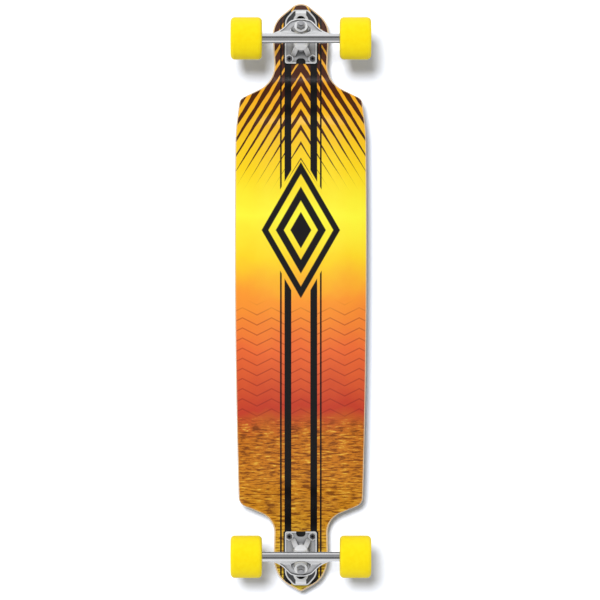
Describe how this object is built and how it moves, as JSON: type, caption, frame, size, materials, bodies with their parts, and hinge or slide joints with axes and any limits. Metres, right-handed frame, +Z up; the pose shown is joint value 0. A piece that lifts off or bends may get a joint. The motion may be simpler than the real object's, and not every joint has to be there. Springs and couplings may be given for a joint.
{
  "type": "longboard skateboard",
  "caption": "Drop-platform longboard with sprung reverse-kingpin trucks that steer when it leans and soft free-spinning wheels.",
  "frame": {"origin": "on the ground under the middle of the deck, board standing on its wheels", "axes": "+X towards the nose, +Y to the rider's left facing the nose, +Z up"},
  "size_m": [1.0478, 0.2484, 0.1235],
  "materials": {
    "maple": "lacquered maple ply, printed underside",
    "grip": "gritty grip sheet",
    "riser_rubber": "moulded rubber",
    "cast_aluminium": "polished casting",
    "cup_plastic": "moulded",
    "steel": "zinc plated",
    "blackened_steel": "black oxide",
    "urethane": "cast urethane",
    "bearing_steel": "ground",
    "shield": "pressed",
    "wheel_urethane": "cast urethane, satin",
    "core_plastic": "moulded"
  },
  "bodies": {
    "deck": {"deck": "maple", "grip_tape": "grip", "front_riser_pad": "riser_rubber", "front_baseplate": "cast_aluminium", "front_pivot_cup": "cup_plastic", "front_kingpin": "steel", "front_kingpin_nut": "steel", "front_boardside_bushing": "urethane", "front_roadside_bushing": "urethane", "front_bushing_washers": "steel", "front_deck_bolts": "blackened_steel", "front_deck_nuts": "blackened_steel", "rear_riser_pad": "riser_rubber", "rear_baseplate": "cast_aluminium", "rear_pivot_cup": "cup_plastic", "rear_kingpin": "steel", "rear_kingpin_nut": "steel", "rear_boardside_bushing": "urethane", "rear_roadside_bushing": "urethane", "rear_bushing_washers": "steel", "rear_deck_bolts": "blackened_steel", "rear_deck_nuts": "blackened_steel"},
    "front_truck": {"front_hanger": "cast_aluminium", "front_axle": "steel", "front_speed_washers": "steel", "front_axle_nuts": "steel", "front_bearing_spacers": "steel", "front_inner_races": "bearing_steel"},
    "front_left_wheel": {"front_left_tyre": "wheel_urethane", "front_left_wheel_core": "core_plastic", "front_left_outer_races": "bearing_steel", "front_left_bearing_shields": "shield"},
    "front_left_cages": {"front_left_bearing_balls": "bearing_steel"},
    "front_right_wheel": {"front_right_tyre": "wheel_urethane", "front_right_wheel_core": "core_plastic", "front_right_outer_races": "bearing_steel", "front_right_bearing_shields": "shield"},
    "front_right_cages": {"front_right_bearing_balls": "bearing_steel"},
    "rear_truck": {"rear_hanger": "cast_aluminium", "rear_axle": "steel", "rear_speed_washers": "steel", "rear_axle_nuts": "steel", "rear_bearing_spacers": "steel", "rear_inner_races": "bearing_steel"},
    "rear_left_wheel": {"rear_left_tyre": "wheel_urethane", "rear_left_wheel_core": "core_plastic", "rear_left_outer_races": "bearing_steel", "rear_left_bearing_shields": "shield"},
    "rear_left_cages": {"rear_left_bearing_balls": "bearing_steel"},
    "rear_right_wheel": {"rear_right_tyre": "wheel_urethane", "rear_right_wheel_core": "core_plastic", "rear_right_outer_races": "bearing_steel", "rear_right_bearing_shields": "shield"},
    "rear_right_cages": {"rear_right_bearing_balls": "bearing_steel"}
  },
  "joints": [
    {"name": "front_steer", "type": "hinge", "parent": "deck", "child": "front_truck", "pos_m": [0.47218, 0, 0.07153], "axis": [0.866, 0, 0.5], "range_deg": [-20, 20], "stiffness_Nm_per_rad": 35, "deforming": ["front_boardside_bushing", "front_roadside_bushing"]},
    {"name": "front_left_spin", "type": "hinge", "parent": "front_truck", "child": "front_left_wheel", "pos_m": [0.45798, 0, 0.0375], "axis": [0, 1, 0], "continuous": true},
    {"name": "front_left_cage_spin", "type": "hinge", "parent": "front_truck", "child": "front_left_cages", "pos_m": [0.45798, 0, 0.0375], "axis": [0, 1, 0], "continuous": true},
    {"name": "front_right_spin", "type": "hinge", "parent": "front_truck", "child": "front_right_wheel", "pos_m": [0.45798, 0, 0.0375], "axis": [0, 1, 0], "continuous": true},
    {"name": "front_right_cage_spin", "type": "hinge", "parent": "front_truck", "child": "front_right_cages", "pos_m": [0.45798, 0, 0.0375], "axis": [0, 1, 0], "continuous": true},
    {"name": "rear_steer", "type": "hinge", "parent": "deck", "child": "rear_truck", "pos_m": [-0.47218, 0, 0.07153], "axis": [-0.866, 0, 0.5], "range_deg": [-20, 20], "stiffness_Nm_per_rad": 35, "deforming": ["rear_boardside_bushing", "rear_roadside_bushing"]},
    {"name": "rear_left_spin", "type": "hinge", "parent": "rear_truck", "child": "rear_left_wheel", "pos_m": [-0.45798, 0, 0.0375], "axis": [0, 1, 0], "continuous": true},
    {"name": "rear_left_cage_spin", "type": "hinge", "parent": "rear_truck", "child": "rear_left_cages", "pos_m": [-0.45798, 0, 0.0375], "axis": [0, 1, 0], "continuous": true},
    {"name": "rear_right_spin", "type": "hinge", "parent": "rear_truck", "child": "rear_right_wheel", "pos_m": [-0.45798, 0, 0.0375], "axis": [0, 1, 0], "continuous": true},
    {"name": "rear_right_cage_spin", "type": "hinge", "parent": "rear_truck", "child": "rear_right_cages", "pos_m": [-0.45798, 0, 0.0375], "axis": [0, 1, 0], "continuous": true}
  ],
  "couplings": [
    {"joint": "front_left_cage_spin", "follows": "front_left_spin", "ratio": 0.62941},
    {"joint": "front_right_cage_spin", "follows": "front_right_spin", "ratio": 0.62941},
    {"joint": "rear_left_cage_spin", "follows": "rear_left_spin", "ratio": 0.62941},
    {"joint": "rear_right_cage_spin", "follows": "rear_right_spin", "ratio": 0.62941}
  ]
}
